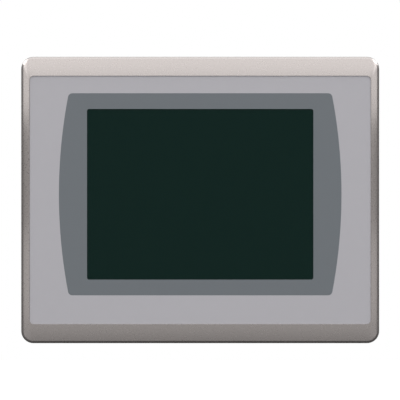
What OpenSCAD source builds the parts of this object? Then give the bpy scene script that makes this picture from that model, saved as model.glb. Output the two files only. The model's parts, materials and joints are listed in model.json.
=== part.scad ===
// Touch panel for a control cabinet door: a 4:3 display behind a resistive touch sensor, in a
// bezel that seals against the door's front, with its electronics in two cases behind the door.
// Millimetres. +Z is up and the front faces -Y. The origin is the centre of the door's cut-out,
// on the door's front face, where the seal rests: the bezel is at negative Y and the cases at
// positive Y.

/* [Bezel] */
// Overall width of the bezel
bezel_w = 182; // [180:1:196]
// Overall height of the bezel
bezel_h = 145.6; // [144:0.2:158]
// Thickness of the bezel, from its back to its crest
bezel_t = 8.5; // [8.5:0.5:11]
// Corner radius of the bezel's outline
bezel_r = 6.2; // [5:0.2:8]
// Width of the sloped rim at the left and right
rim_side = 4.2; // [3.4:0.2:5]
// Width of the sloped rim at the top and bottom
rim_end = 9.6; // [8:0.2:10]
// Width of the steep rounded edge around the rim
edge_w = 1.2; // [0.8:0.1:1.6]
// How far the rounded edge rises from the rim's side wall
edge_rise = 3; // [2:0.2:3.6]
// How far the slope rises from the rounded edge to the crest
slope_rise = 2.4; // [1.6:0.2:2.4]
// Depth of the label's pocket below the crest
pocket_depth = 0.8; // [0.6:0.1:1]

/* [Front labels] */
// Thickness of the label films
label_t = 0.3; // [0.2:0.05:0.5]
// Corner radius of the face label
face_r = 2.3; // [1.6:0.1:4]
// Height of the dark mask around the display
mask_h = 102.7; // [100:0.1:106]
// Width of the mask at half height, where its sides bow out most
mask_mid_w = 143.6; // [138:0.2:150]
// Width of the mask at its corners
mask_corner_w = 133.6; // [130:0.2:137]
// Corner radius of the mask
mask_r = 2.2; // [1:0.1:3]
// Width of the window in the mask
window_w = 115; // [112:0.1:116]
// Height of the window in the mask
window_h = 86.7; // [84:0.1:88]

/* [Display] */
// Width of the visible display
view_w = 115.2; // [112:0.2:116]
// Height of the visible display
view_h = 86.4; // [84:0.2:87]
// How far the display sits above the bezel's centre
view_up = 2.9; // [2:0.1:3.4]
// Width of the touch sensor
touch_w = 132; // [128:0.5:133]
// Height of the touch sensor
touch_h = 104; // [100:0.5:104]
// Width of the display module
module_w = 127; // [125:0.5:128]
// Height of the display module
module_h = 98.4; // [97:0.2:99]

/* [Rear case] */
// Width of the rear case, 2 mm under the cut-out's
case_w = 156; // [155:1:158]
// Height of the rear case, 2 mm under the cut-out's
case_h = 120; // [119:1:121]
// How far the rear case reaches behind the door's front face
case_back = 24; // [24:1:26]
// Wall thickness of the rear case
case_wall = 2.5; // [2:0.1:2.6]

/* [Logic case] */
// Width of the logic case
logic_w = 130; // [130:1:134]
// Height of the logic case
logic_h = 92; // [92:1:94]
// Depth of the logic case
logic_depth = 26; // [26:1:30]
// Wall thickness of the logic case
logic_wall = 2; // [1.6:0.1:2.2]

/* [Clamps] */
// Distance of each clamp from the centre line
clamp_x = 60; // [59:0.5:61]
// Free gap for the door between the seal and an open clamp
clamp_gap = 8.5; // [8:0.1:9]
// Radius of the clamp screws
clamp_screw_r = 1.95; // [1.5:0.05:2]

/* [Hidden] */
$fn = 48;
eps = 0.1;            // how far a cut runs past the face it opens
loose = 0.3;          // gap around a piece that drops into a pocket
close = 0.05;         // gap around a screw, a pin or a shaft

// Planes from front to back, as Y.
seal_proud = 1;                                   // how far the seal stands out of its groove
bezel_back = -seal_proud;
crest_y = bezel_back - bezel_t;
pocket_y = crest_y + pocket_depth;
touch_film_t = 0.2;
touch_glass_t = 1.8;
shelf_y = pocket_y + touch_film_t + touch_glass_t; // front of the shelf that holds the sensor
shelf_t = 1;
cavity_y = shelf_y + shelf_t;                      // front of the display module's cavity
foam_t = 0.8;
module_y = cavity_y + foam_t;                      // front of the display module
module_t = 6;
plate_y = module_y + module_t + 0.2;               // front of the chassis plate
plate_t = 1.2;
board_t = 1.6;
display_board_y = plate_y + plate_t + 5.5;         // front of the display board
case_floor = case_back - case_wall;                // inner face of the rear case's back wall
logic_back = case_back + logic_depth;
logic_floor = logic_back - logic_wall;             // inner face of the logic case's back wall
logic_board_y = case_back + 5;                     // front of the logic board
parts_y = logic_board_y + board_t;                 // the logic board's rear face
wall_z = -logic_h / 2;                             // outer face of the ports' wall

// Outlines and places that several pieces share.
pocket = [bezel_w - 2 * rim_side, bezel_h - 2 * rim_end];
crest_land = 0.35;                                 // width of the flat crest around the pocket
seal_out = [175, 139];
seal_w = 6;
m3_r = 1.5;
m3_head_r = 2.75;
m3_head_h = 1.9;
post_r = 4;
post = [case_w / 2 - 6, case_h / 2 - 6];           // the case screws
spacer_x = 69;
spacer_zs = [-38, 0, 38];
board_half = [50, 30];                             // half the display board
board_post = [44, 25];
logic_half = [61.5, 43];                           // half the logic board
logic_post = [58, 38];
tab = [69.5, 25];                                  // the lugs' screws
clamp_z = case_h / 2 + 7.2;                        // the clamp screws' height
clamp_travel = 7;
clip_w = 14;
clip_t = 2.4;
clip_front = clamp_gap + 1.1;
ear_back = case_back - 1;
ear_t = 3.6;
battery = [-32, 18];
door = [34, 30];                                   // the battery opening
hinge = [battery.x - door.x / 2 - 1.2, logic_back + 0.4];
hinge_r = 1.6;
pin_r = 0.7;
cpu = [8, 16];
reset = [30, -22];
power_x = -45;
serial_x = -15.5;
ethernet_x = 10;
usb_xs = [29, 45];
pole_xs = [-5.08, 0, 5.08];                        // the power plug's poles
card = [32, 2.1, 24];
card_z = 7;
card_out = 2.5;                                    // how far the card stands out of the wall
slot_y = parts_y + 0.8;                            // front face of the card

// ---------- helpers ----------

function arc(c, r, a0, a1, n) =
    [for (i = [0:n]) c + r * [cos(a0 + (a1 - a0) * i / n), sin(a0 + (a1 - a0) * i / n)]];

function rounded(size, r, n = 8) = let (x = size.x / 2 - r, z = size.y / 2 - r)
    concat(arc([x, z], r, 0, 90, n), arc([-x, z], r, 90, 180, n),
           arc([-x, -z], r, 180, 270, n), arc([x, -z], r, 270, 360, n));

// The mask's outline: flat top and bottom, sides that are arcs of one large circle, and
// corners of radius r that are tangent to both.
function bowed(h, mid_w, corner_w, r) =
    let (sag = (mid_w - corner_w) / 2,
         big = (h * h / 4 + sag * sag) / (2 * sag),
         xc = mid_w / 2 - big,
         cz = h / 2 - r,
         cx = xc + sqrt((big - r) * (big - r) - cz * cz),
         side = atan2(cz, cx - xc),
         right = concat(arc([cx, -cz], r, -90, -side, 5), arc([xc, 0], big, -side, side, 20),
                        arc([cx, cz], r, side, 90, 5)))
    concat(right, [for (i = [len(right) - 1:-1:0]) [-right[i].x, right[i].y]]);

// A strip of thickness t along a line of points, as one closed outline.
function strip(points, t) =
    let (last = len(points) - 1,
         side = [for (i = [0:last])
             let (d = points[min(i + 1, last)] - points[max(i - 1, 0)])
             [-d.y, d.x] / norm(d) * t / 2])
    concat([for (i = [0:last]) points[i] + side[i]],
           [for (i = [last:-1:0]) points[i] - side[i]]);

// Extrudes an outline in X and Z from the plane y = front to y = back.
module slab(front, back)
    translate([0, back, 0]) rotate([90, 0, 0]) linear_extrude(back - front) children();

// Extrudes an outline in Y and Z from x0 to x1.
module along_x(x0, x1)
    translate([x0, 0, 0]) rotate([90, 0, 90]) linear_extrude(x1 - x0) children();

module box(low, high) translate(low) cube(high - low);

module rod_y(at, front, back, r)
    translate([at.x, front, at.y]) rotate([-90, 0, 0]) cylinder(h = back - front, r = r);

module hex_y(at, front, back, flats)
    translate([at.x, front, at.y]) rotate([-90, 0, 0])
        cylinder(h = back - front, r = flats / sqrt(3), $fn = 6);

module mirrored_x() { children(); mirror([1, 0, 0]) children(); }
module mirrored_z() { children(); mirror([0, 0, 1]) children(); }
module at_corners() mirrored_x() mirrored_z() children();

// A pan-head M3 screw: its head sits on the plane y = seat, and its tip is at y = tip.
module m3_screw(at, seat, tip) {
    difference() {
        union() {
            rod_y(at, tip, seat + eps, m3_r);
            rod_y(at, seat, seat + m3_head_h, m3_head_r);
        }
        for (turn = [0, 90])
            translate([at.x, seat + m3_head_h, at.y]) rotate([0, turn, 0])
                cube([3, 2 * 1.1, 0.7], center = true);
    }
}

// ---------- front ----------

// The rounded edge's outline at share t of its width, and the slope's at share v of its width.
module edge_level(t) {
    y = crest_y + slope_rise + edge_rise * (1 - t / 2 - sqrt(1 - (1 - t) * (1 - t)) / 2);
    slab(y, y + 0.01)
        polygon(rounded([bezel_w, bezel_h] - 2 * t * edge_w * [1, 1], bezel_r - t * edge_w));
}

module slope_level(v) {
    y = crest_y + slope_rise * (1 - v) * (1 - 0.3 * v);
    inset = [1, 1] * edge_w + v * ([rim_side, rim_end] - [1, 1] * (crest_land + edge_w));
    slab(y, y + 0.01)
        polygon(rounded([bezel_w, bezel_h] - 2 * inset,
                        bezel_r - edge_w + v * (face_r + crest_land + edge_w - bezel_r)));
}

module front_bezel() color("#9a9290") difference() {
    hull() {
        slab(bezel_back - 0.01, bezel_back) polygon(rounded([bezel_w, bezel_h], bezel_r));
        for (t = [0, 0.04, 0.15, 0.35, 0.65]) edge_level(t);
        for (v = [0, 0.33, 0.66, 1]) slope_level(v);
    }
    slab(crest_y - eps, pocket_y) polygon(rounded(pocket, face_r));
    translate([0, 0, view_up]) {
        slab(pocket_y - eps, shelf_y) polygon(rounded([touch_w, touch_h] + 2 * loose * [1, 1], 1));
        slab(shelf_y - eps, cavity_y + eps) polygon(rounded([view_w + 3.8, view_h + 3.6], 1));
        slab(cavity_y, bezel_back + eps)
            polygon(rounded([module_w, module_h] + 2 * loose * [1, 1], 1));
    }
    box([-7.6, pocket_y - eps, -51.6], [7.6, bezel_back + eps, -49]);
    slab(bezel_back - 1, bezel_back + eps) difference() {
        polygon(rounded(seal_out + 0.4 * [1, 1], 5));
        polygon(rounded(seal_out - (2 * seal_w + 0.4) * [1, 1], 3));
    }
    for (x = [-spacer_x, spacer_x], z = spacer_zs)
        rod_y([x, z], bezel_back - 4.5, bezel_back + eps, m3_r + close);
    at_corners() rod_y(post, bezel_back - 5, bezel_back + eps, m3_r + close);
}

module face_label() color("#acaaaf") slab(pocket_y - label_t, pocket_y) difference() {
    polygon(rounded(pocket - loose * [1, 1], face_r - loose / 2));
    translate([0, view_up]) polygon(bowed(mask_h, mask_mid_w, mask_corner_w, mask_r));
}

module mask_label() color("#6d7276") translate([0, 0, view_up])
    slab(pocket_y - label_t, pocket_y) difference() {
        polygon(bowed(mask_h, mask_mid_w, mask_corner_w, mask_r));
        polygon(rounded([window_w, window_h], 1.1));
    }

module touch_film() color("#142723", 0.6) translate([0, 0, view_up])
    slab(pocket_y, pocket_y + touch_film_t) polygon(rounded([touch_w, touch_h], 0.7));

module touch_glass() color("#b8c8c4", 0.5) translate([0, 0, view_up])
    slab(pocket_y + touch_film_t, shelf_y) polygon(rounded([touch_w, touch_h], 0.7));

module lcd_foam() color("#2a2a2a") translate([0, 0, view_up])
    slab(cavity_y, module_y) difference() {
        polygon(rounded([module_w - 0.6, module_h - 0.6], 0.8));
        polygon(rounded([view_w + 4.2, view_h + 4], 0.8));
    }

// ---------- display module ----------

frame_t = 0.4;
cell = [module_w - 3, module_h - 3.4];
cell_y = module_y + frame_t;
films_y = cell_y + 1.6;
guide_y = films_y + 0.6;
guide_back = guide_y + 2.2;
led_h = 2;                                       // height of the strip of LEDs under the guide

module lcd_frame() color("#b9bcc0") translate([0, 0, view_up]) difference() {
    slab(module_y, module_y + module_t) polygon(rounded([module_w, module_h], 0.7));
    slab(module_y - eps, cell_y + eps) polygon(rounded([view_w + 2.4, view_h + 2.4], 0.6));
    slab(cell_y, module_y + module_t + eps)
        polygon(rounded([module_w, module_h] - 2 * frame_t * [1, 1], 0.5));
}

module lcd_cell() color("#142723") translate([0, 0, view_up])
    slab(cell_y, films_y) square(cell, center = true);

module backlight_films() color("#e9ece8") translate([0, 0, view_up])
    slab(films_y, guide_y) square(cell - [2, 2], center = true);

module light_guide() color("#dfe8ea", 0.7) translate([0, 0, view_up + led_h / 2])
    slab(guide_y, guide_back) square(cell - [3, 3 + led_h], center = true);

module led_bar() color("#f3efc8") translate([0, 0, view_up])
    box([2 - cell.x / 2, guide_y, 1.5 - cell.y / 2],
        [cell.x / 2 - 2, guide_back, 1.5 - cell.y / 2 + led_h - 0.2]);

module backlight_tray() color("#f2f2f0") translate([0, 0, view_up]) difference() {
    slab(films_y, guide_back + 0.7)
        polygon(rounded([module_w, module_h] - 2.2 * frame_t * [1, 1], 0.5));
    slab(films_y - eps, guide_back) square(cell - [1.8, 1.8], center = true);
}

module chassis_spacers() color("#c9a85a")
    for (x = [-spacer_x, spacer_x], z = spacer_zs) difference() {
        hex_y([x, z], bezel_back, plate_y, 5.5);
        rod_y([x, z], bezel_back - eps, plate_y + eps, m3_r + close);
    }

// A plate behind the display module, with pressed-in posts for the display board.
module chassis_plate() color("#a9adb1") difference() {
    union() {
        slab(plate_y, plate_y + plate_t) polygon(rounded([146, 92], 3));
        at_corners() rod_y(board_post, plate_y + plate_t - eps, display_board_y, 2.8);
    }
    for (x = [-spacer_x, spacer_x], z = spacer_zs)
        rod_y([x, z], plate_y - eps, plate_y + plate_t + eps, m3_r + 0.1);
    at_corners() rod_y(board_post, plate_y - eps, display_board_y + eps, m3_r + close);
    box([12, plate_y - eps, -45.2], [40, plate_y + plate_t + eps, -34]);
    mirrored_x() box([14, plate_y - eps, -20], [38, plate_y + plate_t + eps, 20]);
}

module chassis_screws() color("#b4b7ba")
    for (x = [-spacer_x, spacer_x], z = spacer_zs)
        m3_screw([x, z], plate_y + plate_t, bezel_back - 4);

module display_board() color("#1d5b3a") difference() {
    slab(display_board_y, display_board_y + board_t)
        polygon(rounded(2 * board_half, 2));
    at_corners() rod_y(board_post, display_board_y - eps, display_board_y + board_t + eps,
                       m3_r + 0.1);
}

display_parts_y = display_board_y + board_t;
ribbon_end = [display_parts_y + 1.6, -28.5];       // where both ribbons enter their connectors
link = [38, 9];                                    // the connectors of the link ribbon
link_z = -5;
link_from = display_parts_y + 5.4;
link_to = logic_board_y - 5.4;

// Connectors for the touch tail, the display ribbon and the link to the logic board, the
// touch controller, and the backlight's driver with its coil.
module display_board_parts() color("#2b2d30") {
    box([-9, display_parts_y, ribbon_end.y], [9, display_parts_y + 2.6, ribbon_end.y + 5]);
    box([13, display_parts_y, ribbon_end.y], [39, display_parts_y + 2.6, ribbon_end.y + 5]);
    slab(display_parts_y, link_from) translate([0, link_z]) square(link, center = true);
    slab(link_to, logic_board_y) translate([0, link_z]) square(link, center = true);
    slab(display_parts_y, display_parts_y + 1.4) {
        translate([-26, 10]) square([12, 12], center = true);
        translate([10, 16]) square([9, 6], center = true);
    }
    rod_y([32, 14], display_parts_y, display_parts_y + 4, 5);
}

module touch_tail() color("#c98a2b") along_x(-7, 7)
    polygon(strip([[pocket_y + 0.5, -49.25], [pocket_y + 1.1, -50.1], [-6.4, -50.5], [-4, -50.6],
                   [0, -50.4], [5, -48], [8.2, -43.4], [10.2, -37], [ribbon_end.x, -31.5],
                   ribbon_end], 0.25));

module display_ribbon() color("#e6e2d6") along_x(14, 38)
    polygon(strip([[guide_back + 0.85, -36.4], [guide_back + 0.95, -38.6], [2.4, -40],
                   [4.6, -40.2], [7.6, -38.8], [10.2, -35.4], [ribbon_end.x, -31.2],
                   ribbon_end], 0.25));

module link_ribbon() color("#8f9499") along_x(-16, 16)
    polygon(strip(concat([[link_from, link_z]], [for (t = [0:0.1:1])
        [link_from + 0.5 + (link_to - link_from - 1) * t, link_z + 1.5 * (1 - cos(360 * t))]],
        [[link_to, link_z]]), 0.9));

// ---------- seal and rear case ----------

module panel_gasket() color("#26282a") slab(bezel_back - 1, 0) difference() {
    polygon(rounded(seal_out, 5));
    polygon(rounded(seal_out - 2 * seal_w * [1, 1], 3));
}

hook_ys = [[8.8, 13.8], [15.3, 20.3]];             // the clips' slots, front and back

module rear_case() color("#2f3336") difference() {
    union() {
        difference() {
            slab(bezel_back, case_back) polygon(rounded([case_w, case_h], 3));
            slab(bezel_back - eps, case_floor)
                polygon(rounded([case_w, case_h] - 2 * case_wall * [1, 1], 1.5));
        }
        at_corners() rod_y(post, bezel_back, case_floor + eps, post_r);
        at_corners() rod_y(tab, case_floor - 4, case_floor + eps, 3.2);
        at_corners() rod_y(logic_post, case_floor - 4, case_floor + eps, 3.2);
    }
    at_corners() {
        rod_y(post, bezel_back - eps, case_back + eps, m3_r + 0.15);
        rod_y(post, case_back - m3_head_h - 0.1, case_back + eps, m3_head_r + 0.35);
        rod_y(tab, case_floor - 4 - eps, case_back + eps, m3_r + close);
        rod_y(logic_post, case_floor - 4 - eps, case_back + eps, m3_r + close);
    }
    slab(case_floor - eps, case_back + eps)
        translate([0, link_z]) square(link + [4, 4], center = true);
    for (x = [-clamp_x, clamp_x], span = hook_ys)
        mirrored_z() box([x - 4.8, span[0], case_h / 2 - case_wall - eps],
                         [x + 4.8, span[1], case_h / 2 + eps]);
    for (x = [-33:6:33])
        mirrored_z() box([x - 1.2, 5, case_h / 2 - case_wall - eps],
                         [x + 1.2, 17, case_h / 2 + eps]);
    for (z = [-30:6:30])
        mirrored_x() box([case_w / 2 - case_wall - eps, 5, z - 1.2],
                         [case_w / 2 + eps, 17, z + 1.2]);
}

// Long screws hold the rear case to the bezel, and short ones the logic case to the rear case.
module case_screws() color("#b4b7ba") at_corners() {
    m3_screw(post, case_back - m3_head_h - 0.1, bezel_back - 4.5);
    m3_screw(tab, case_back + 2, case_floor - 3);
}

// ---------- clamps ----------

// Puts a clamp made for the top right at its own corner.
module at_clamp(side, end) {
    if (end > 0) translate([side * clamp_x, 0, 0]) children();
    else mirror([0, 0, 1]) translate([side * clamp_x, 0, 0]) children();
}

// A bracket that hooks into two slots of the rear case, with an ear for the clamp screw.
module clip() color("#3a3e41") difference() {
    z = case_h / 2;
    union() {
        box([-clip_w / 2, clip_front, z], [clip_w / 2, ear_back, z + clip_t]);
        box([-clip_w / 2, ear_back - ear_t, z], [clip_w / 2, ear_back, clamp_z + 5.2]);
        mirrored_x() along_x(clip_w / 2 - 1.4, clip_w / 2)
            polygon([[clip_front + 1, z + 1], [ear_back - 1, z + 1], [ear_back - 1, clamp_z + 4],
                     [ear_back - ear_t, clamp_z + 4], [clip_front + 1, z + clip_t]]);
        for (span = hook_ys) {
            box([-4.5, span[1] - 2.8, z - case_wall - 2], [4.5, span[1] - 0.1, z + 1]);
            box([-4.5, span[1] - 2.8, z - case_wall - 2.1], [4.5, span[1] + 0.9, z - case_wall - 0.1]);
        }
    }
    rod_y([0, clamp_z], ear_back - ear_t - eps, ear_back + eps, clamp_screw_r + close);
}

pad_t = 3;
pad_r = 4;
neck_r = 1.3;

// The foot that presses on the door's back: it swivels on the screw's neck.
module pad() color("#1e2022") difference() {
    rod_y([0, clamp_z], clamp_gap, clamp_gap + pad_t, pad_r);
    rod_y([0, clamp_z], clamp_gap + 1.1, clamp_gap + pad_t + eps, neck_r + close);
}

module clamp_screw() color("#c3c6c9") difference() {
    head = ear_back + clamp_travel + 0.6;
    union() {
        rod_y([0, clamp_z], clamp_gap + 1.2, clamp_gap + pad_t + 0.3, neck_r);
        rod_y([0, clamp_z], clamp_gap + pad_t + 0.2, head + eps, clamp_screw_r);
        rod_y([0, clamp_z], head, head + 3.2, 3.6);
    }
    translate([0, head + 3.2, clamp_z]) cube([8, 2.6, 1], center = true);
}

// ---------- logic case ----------

port_gap = 0.3;                                    // around each port in the wall

module wall_cut(x, half_w, front, back)
    box([x - half_w - port_gap, front - port_gap, wall_z - eps],
        [x + half_w + port_gap, back + port_gap, wall_z + logic_wall + eps]);

module logic_case() color("#3b4043") difference() {
    union() {
        difference() {
            slab(case_back, logic_back) polygon(rounded([logic_w, logic_h], 3));
            slab(case_back - eps, logic_floor)
                polygon(rounded([logic_w, logic_h] - 2 * logic_wall * [1, 1], 1.5));
        }
        for (end = [-1, 1])
            translate([hinge.x, hinge.y, battery.y + end * 13 - 2]) cylinder(h = 4, r = hinge_r);
        stop = [battery.x + door.x / 2, logic_floor - loose];
        box([stop.x - 1.2, stop.y - 1, battery.y - 8], [stop.x + 2, stop.y, battery.y + 8]);
        box([stop.x + 0.5, stop.y - 1, battery.y - 8], [stop.x + 2, stop.y + 1, battery.y + 8]);
    }
    wall_cut(power_x, 9.6, parts_y + 0.4, parts_y + 11);
    wall_cut(serial_x, 8.6, parts_y + 2.4, parts_y + 10.8);
    for (x = [-12.5, 12.5]) translate([serial_x + x, parts_y + 6.6, wall_z - eps])
        cylinder(h = logic_wall + 2 * eps, r = 1.6);
    wall_cut(ethernet_x, 8, parts_y + 0.4, parts_y + 13.8);
    for (x = usb_xs) wall_cut(x, 6.6, parts_y + 0.4, parts_y + 6.2);
    box([logic_w / 2 - logic_wall - eps, slot_y - 0.4, card_z - 0.4],
        [logic_w / 2 + eps, slot_y + card.y + 0.4, card_z + card.z + 0.4]);
    slab(logic_floor - eps, logic_back + eps) translate(battery) square(door, center = true);
    translate([hinge.x, hinge.y, battery.y - 11]) cylinder(h = 22, r = hinge_r + 0.3);
    translate([hinge.x, hinge.y, battery.y - 16]) cylinder(h = 32, r = pin_r + close);
    rod_y(reset, logic_floor - eps, logic_back + eps, 2.9);
    for (x = [-6:5:24]) box([x - 1, logic_floor - eps, 2], [x + 1, logic_back + eps, 32]);
    for (x = [-50:6:52]) box([x - 1.2, case_back + 7, -wall_z - logic_wall - eps],
                             [x + 1.2, case_back + 19, -wall_z + eps]);
}

// Lugs welded to the logic case's sides, each a plate with two gussets.
module case_lugs() color("#3b4043") at_corners() difference() {
    union() {
        box([logic_w / 2, case_back, tab.y - 6], [tab.x + 5, case_back + 2, tab.y + 6]);
        for (z = [tab.y - 6, tab.y + 4.8]) translate([0, 0, z]) linear_extrude(1.2)
            polygon([[logic_w / 2, case_back + 1], [tab.x + 4, case_back + 1],
                     [tab.x + 4, case_back + 2], [logic_w / 2, case_back + 6]]);
    }
    rod_y(tab, case_back - eps, case_back + 2 + eps, m3_r + 0.15);
}

module logic_spacers() color("#c9a85a") at_corners() difference() {
    hex_y(logic_post, case_back, logic_board_y, 5);
    rod_y(logic_post, case_back - eps, logic_board_y + eps, m3_r + close);
}

module logic_board() color("#1d5b3a") difference() {
    slab(logic_board_y, parts_y) polygon(rounded(2 * logic_half, 2));
    at_corners() rod_y(logic_post, logic_board_y - eps, parts_y + eps, m3_r + 0.1);
}

module board_screws() color("#b4b7ba") at_corners() {
    m3_screw(logic_post, parts_y, case_floor - 3);
    m3_screw(board_post, display_board_y + board_t, plate_y + 1);
}

module heatsink() color("#8e9296") translate([cpu.x, 0, cpu.y]) {
    box([-15, parts_y + 3, -15], [15, parts_y + 5, 15]);
    for (i = [0:7]) box([-15 + i * 4.1, parts_y + 4.9, -15], [-13.7 + i * 4.1, parts_y + 14, 15]);
}

// The processor under the heatsink, two memory chips, the network chip and its transformer,
// the power converter and the serial driver.
module logic_chips() color("#232527") {
    slab(parts_y, parts_y + 3) translate(cpu) square([24, 24], center = true);
    slab(parts_y, parts_y + 1.4) {
        for (x = [-3, 15]) translate([x, -9]) square([12, 10], center = true);
        translate([8, -24]) square([9, 9], center = true);
        translate([-17, -24]) square([10, 7], center = true);
        translate([-52, 2]) square([9, 9], center = true);
    }
    slab(parts_y, parts_y + 5) translate([-5, -24]) square([8, 12], center = true);
}

module capacitors() color("#4a4f63")
    for (x = [-55, -43, -31]) rod_y([x, -21], parts_y, parts_y + 12, 5);

module battery_holder() color("#1b1c1e") difference() {
    rod_y(battery, parts_y, parts_y + 4.6, 12);
    rod_y(battery, parts_y + 1, parts_y + 4.6 + eps, 10.2);
    box([battery.x - 3, parts_y + 1, battery.y - 13], [battery.x + 3, parts_y + 5, battery.y - 9]);
}

module coin_cell() color("#cfd1d3") rod_y(battery, parts_y + 1, parts_y + 4.2, 10);

// The door swings about a barrel that stands half proud of the case.
module battery_door() color("#4a4f53") difference() {
    union() {
        slab(logic_floor, logic_back) translate(battery)
            square(door - 2 * loose * [1, 1], center = true);
        box([hinge.x, logic_back - 0.9, battery.y - 10.7],
            [battery.x - door.x / 2 + 1, logic_back, battery.y + 10.7]);
        translate([hinge.x, hinge.y, battery.y - 10.7]) cylinder(h = 21.4, r = hinge_r);
    }
    translate([hinge.x, hinge.y, battery.y - 11]) cylinder(h = 22, r = pin_r + close);
    for (end = [-1, 1])
        translate([hinge.x, hinge.y, battery.y + end * 13.2 - 2.5])
            cylinder(h = 5, r = hinge_r + loose);
    box([battery.x + door.x / 2 - 4, logic_back - 1.1, battery.y - 6],
        [battery.x + door.x / 2, logic_back + eps, battery.y + 6]);
}

module door_hinge_pin() color("#c3c6c9")
    translate([hinge.x, hinge.y, battery.y - 15]) cylinder(h = 30, r = pin_r);

// ---------- ports in the bottom wall ----------

module power_header() color("#2e7d4f") translate([power_x, parts_y, 0]) {
    difference() {
        box([-9.6, 0.4, wall_z - 0.6], [9.6, 11, wall_z + 13]);
        box([-8.3, 1.5, wall_z - 0.7], [8.3, 9.9, wall_z + 9.5]);
    }
    for (x = pole_xs) box([x - 0.5, 5.2, wall_z + 2], [x + 0.5, 6.2, wall_z + 9.6]);
}

module power_plug() color("#3fa065") translate([power_x, parts_y, 0]) difference() {
    union() {
        box([-8, 1.8, wall_z - 1.1], [8, 9.6, wall_z + 9]);
        box([-9, 1, wall_z - 15], [9, 12, wall_z - 1]);
    }
    for (x = pole_xs) {
        box([x - 0.8, 4.9, wall_z + 1], [x + 0.8, 6.5, wall_z + 9.1]);
        box([x - 1.7, 2.6, wall_z - 15.1], [x + 1.7, 6, wall_z - 7]);
        rod_y([x, wall_z - 8], 6.9, 12.1, 2.1);
    }
}

module terminal_screws() color("#c3c6c9") translate([power_x, parts_y, 0])
    for (x = pole_xs) difference() {
        rod_y([x, wall_z - 8], 6.9, 10.8, 2);
        box([x - 2.1, 10, wall_z - 8.3], [x + 2.1, 10.9, wall_z - 7.7]);
    }

// Half-width of the serial port's shell at height y over its centre: it narrows downwards.
function d_outline(grow) = [[-8.5 - grow, -4.2 - grow], [8.5 + grow, -4.2 - grow],
                            [7 + grow, 4.2 + grow], [-7 - grow, 4.2 + grow]];

module serial_shell() color("#b9bcc0") translate([serial_x, parts_y + 6.6, wall_z]) {
    difference() {
        union() {
            box([-15.4, -6.2, 2], [15.4, 6.2, 3]);
            translate([0, 0, -4.5]) linear_extrude(6.6) polygon(d_outline(0));
        }
        translate([0, 0, -4.6]) linear_extrude(8) polygon(d_outline(-0.5));
    }
    for (x = [-12.5, 12.5]) translate([x, 0, 0]) difference() {
        union() {
            translate([0, 0, -4.5]) cylinder(h = 4.5, r = 4.8 / sqrt(3), $fn = 6);
            translate([0, 0, -0.1]) cylinder(h = 2.15, r = 1.5);
        }
        translate([0, 0, -4.6]) cylinder(h = 3.6, r = 1.2);
    }
}

module serial_insert() color("#17181a") translate([serial_x, parts_y + 6.6, wall_z]) {
    translate([0, 0, 0.4]) linear_extrude(2.7) polygon(d_outline(-0.6));
    box([-10, -6, 3.1], [10, 6, 13]);
    translate([0, 0, -3.4]) for (i = [0:4]) translate([(i - 2) * 2.77, -1.42, 0])
        cylinder(h = 4, r = 0.5);
    translate([0, 0, -3.4]) for (i = [0:3]) translate([(i - 1.5) * 2.77, 1.42, 0])
        cylinder(h = 4, r = 0.5);
}

// An eight-way jack: a shell, a mouth with the step for the plug's latch, and its contacts.
module ethernet_jack() color("#aeb1b5") translate([ethernet_x, parts_y, wall_z]) {
    difference() {
        box([-8, 0.4, -0.8], [8, 13.8, 17]);
        box([-5.9, 2.6, -0.9], [5.9, 9.4, 13]);
        box([-3.2, 9.3, -0.9], [3.2, 11, 13]);
        box([-1.7, 10.9, -0.9], [1.7, 12.2, 13]);
    }
    for (i = [0:7]) box([(i - 3.5) * 1.02 - 0.25, 2.5, 1.5], [(i - 3.5) * 1.02 + 0.25, 3.4, 12.9]);
}

module usb_shells() color("#c3c6c9")
    for (x = usb_xs) translate([x, parts_y, wall_z]) difference() {
        box([-6.6, 0.4, -0.9], [6.6, 6.2, 13]);
        box([-6.2, 0.8, -1], [6.2, 5.8, 11.5]);
    }

module usb_tongues() color("#ececea")
    for (x = usb_xs) translate([x, parts_y, wall_z])
        box([-5.6, 3.6, 0.4], [5.6, 5.4, 11.5]);

module card_socket() color("#c3c6c9") difference() {
    inner = logic_w / 2 - logic_wall;
    box([inner - 30, parts_y, card_z - 2], [inner - 0.2, slot_y + card.y + 0.7, card_z + card.z + 2]);
    box([inner - 28.2, slot_y - loose, card_z - loose],
        [inner, slot_y + card.y + loose, card_z + card.z + loose]);
}

module memory_card() color("#26303c") difference() {
    edge = logic_w / 2 + card_out;
    box([edge - card.x, slot_y, card_z], [edge, slot_y + card.y, card_z + card.z]);
    translate([edge - card.x, slot_y - eps, card_z + card.z]) rotate([0, 45, 0])
        cube([4.2, card.y * 4, 4.2], center = true);
}

module reset_switch() color("#2b2d30") {
    slab(parts_y, parts_y + 3.6) translate(reset) square([6, 6], center = true);
    rod_y(reset, parts_y + 3.5, parts_y + 4.8, 1.6);
}

reset_travel = 0.9;

module reset_button() color("#d7d8d6") {
    rod_y(reset, parts_y + 4.8 + reset_travel + loose, logic_floor - 1.6, 1.5);
    rod_y(reset, logic_floor - 1.7, logic_floor - loose, 3.4);
    rod_y(reset, logic_floor - loose - eps, logic_back - 0.4, 2.6);
}

module rating_label() color("#d9dadb")
    slab(logic_back, logic_back + 0.2) translate([-32, -23]) polygon(rounded([52, 32], 1.5));

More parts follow.
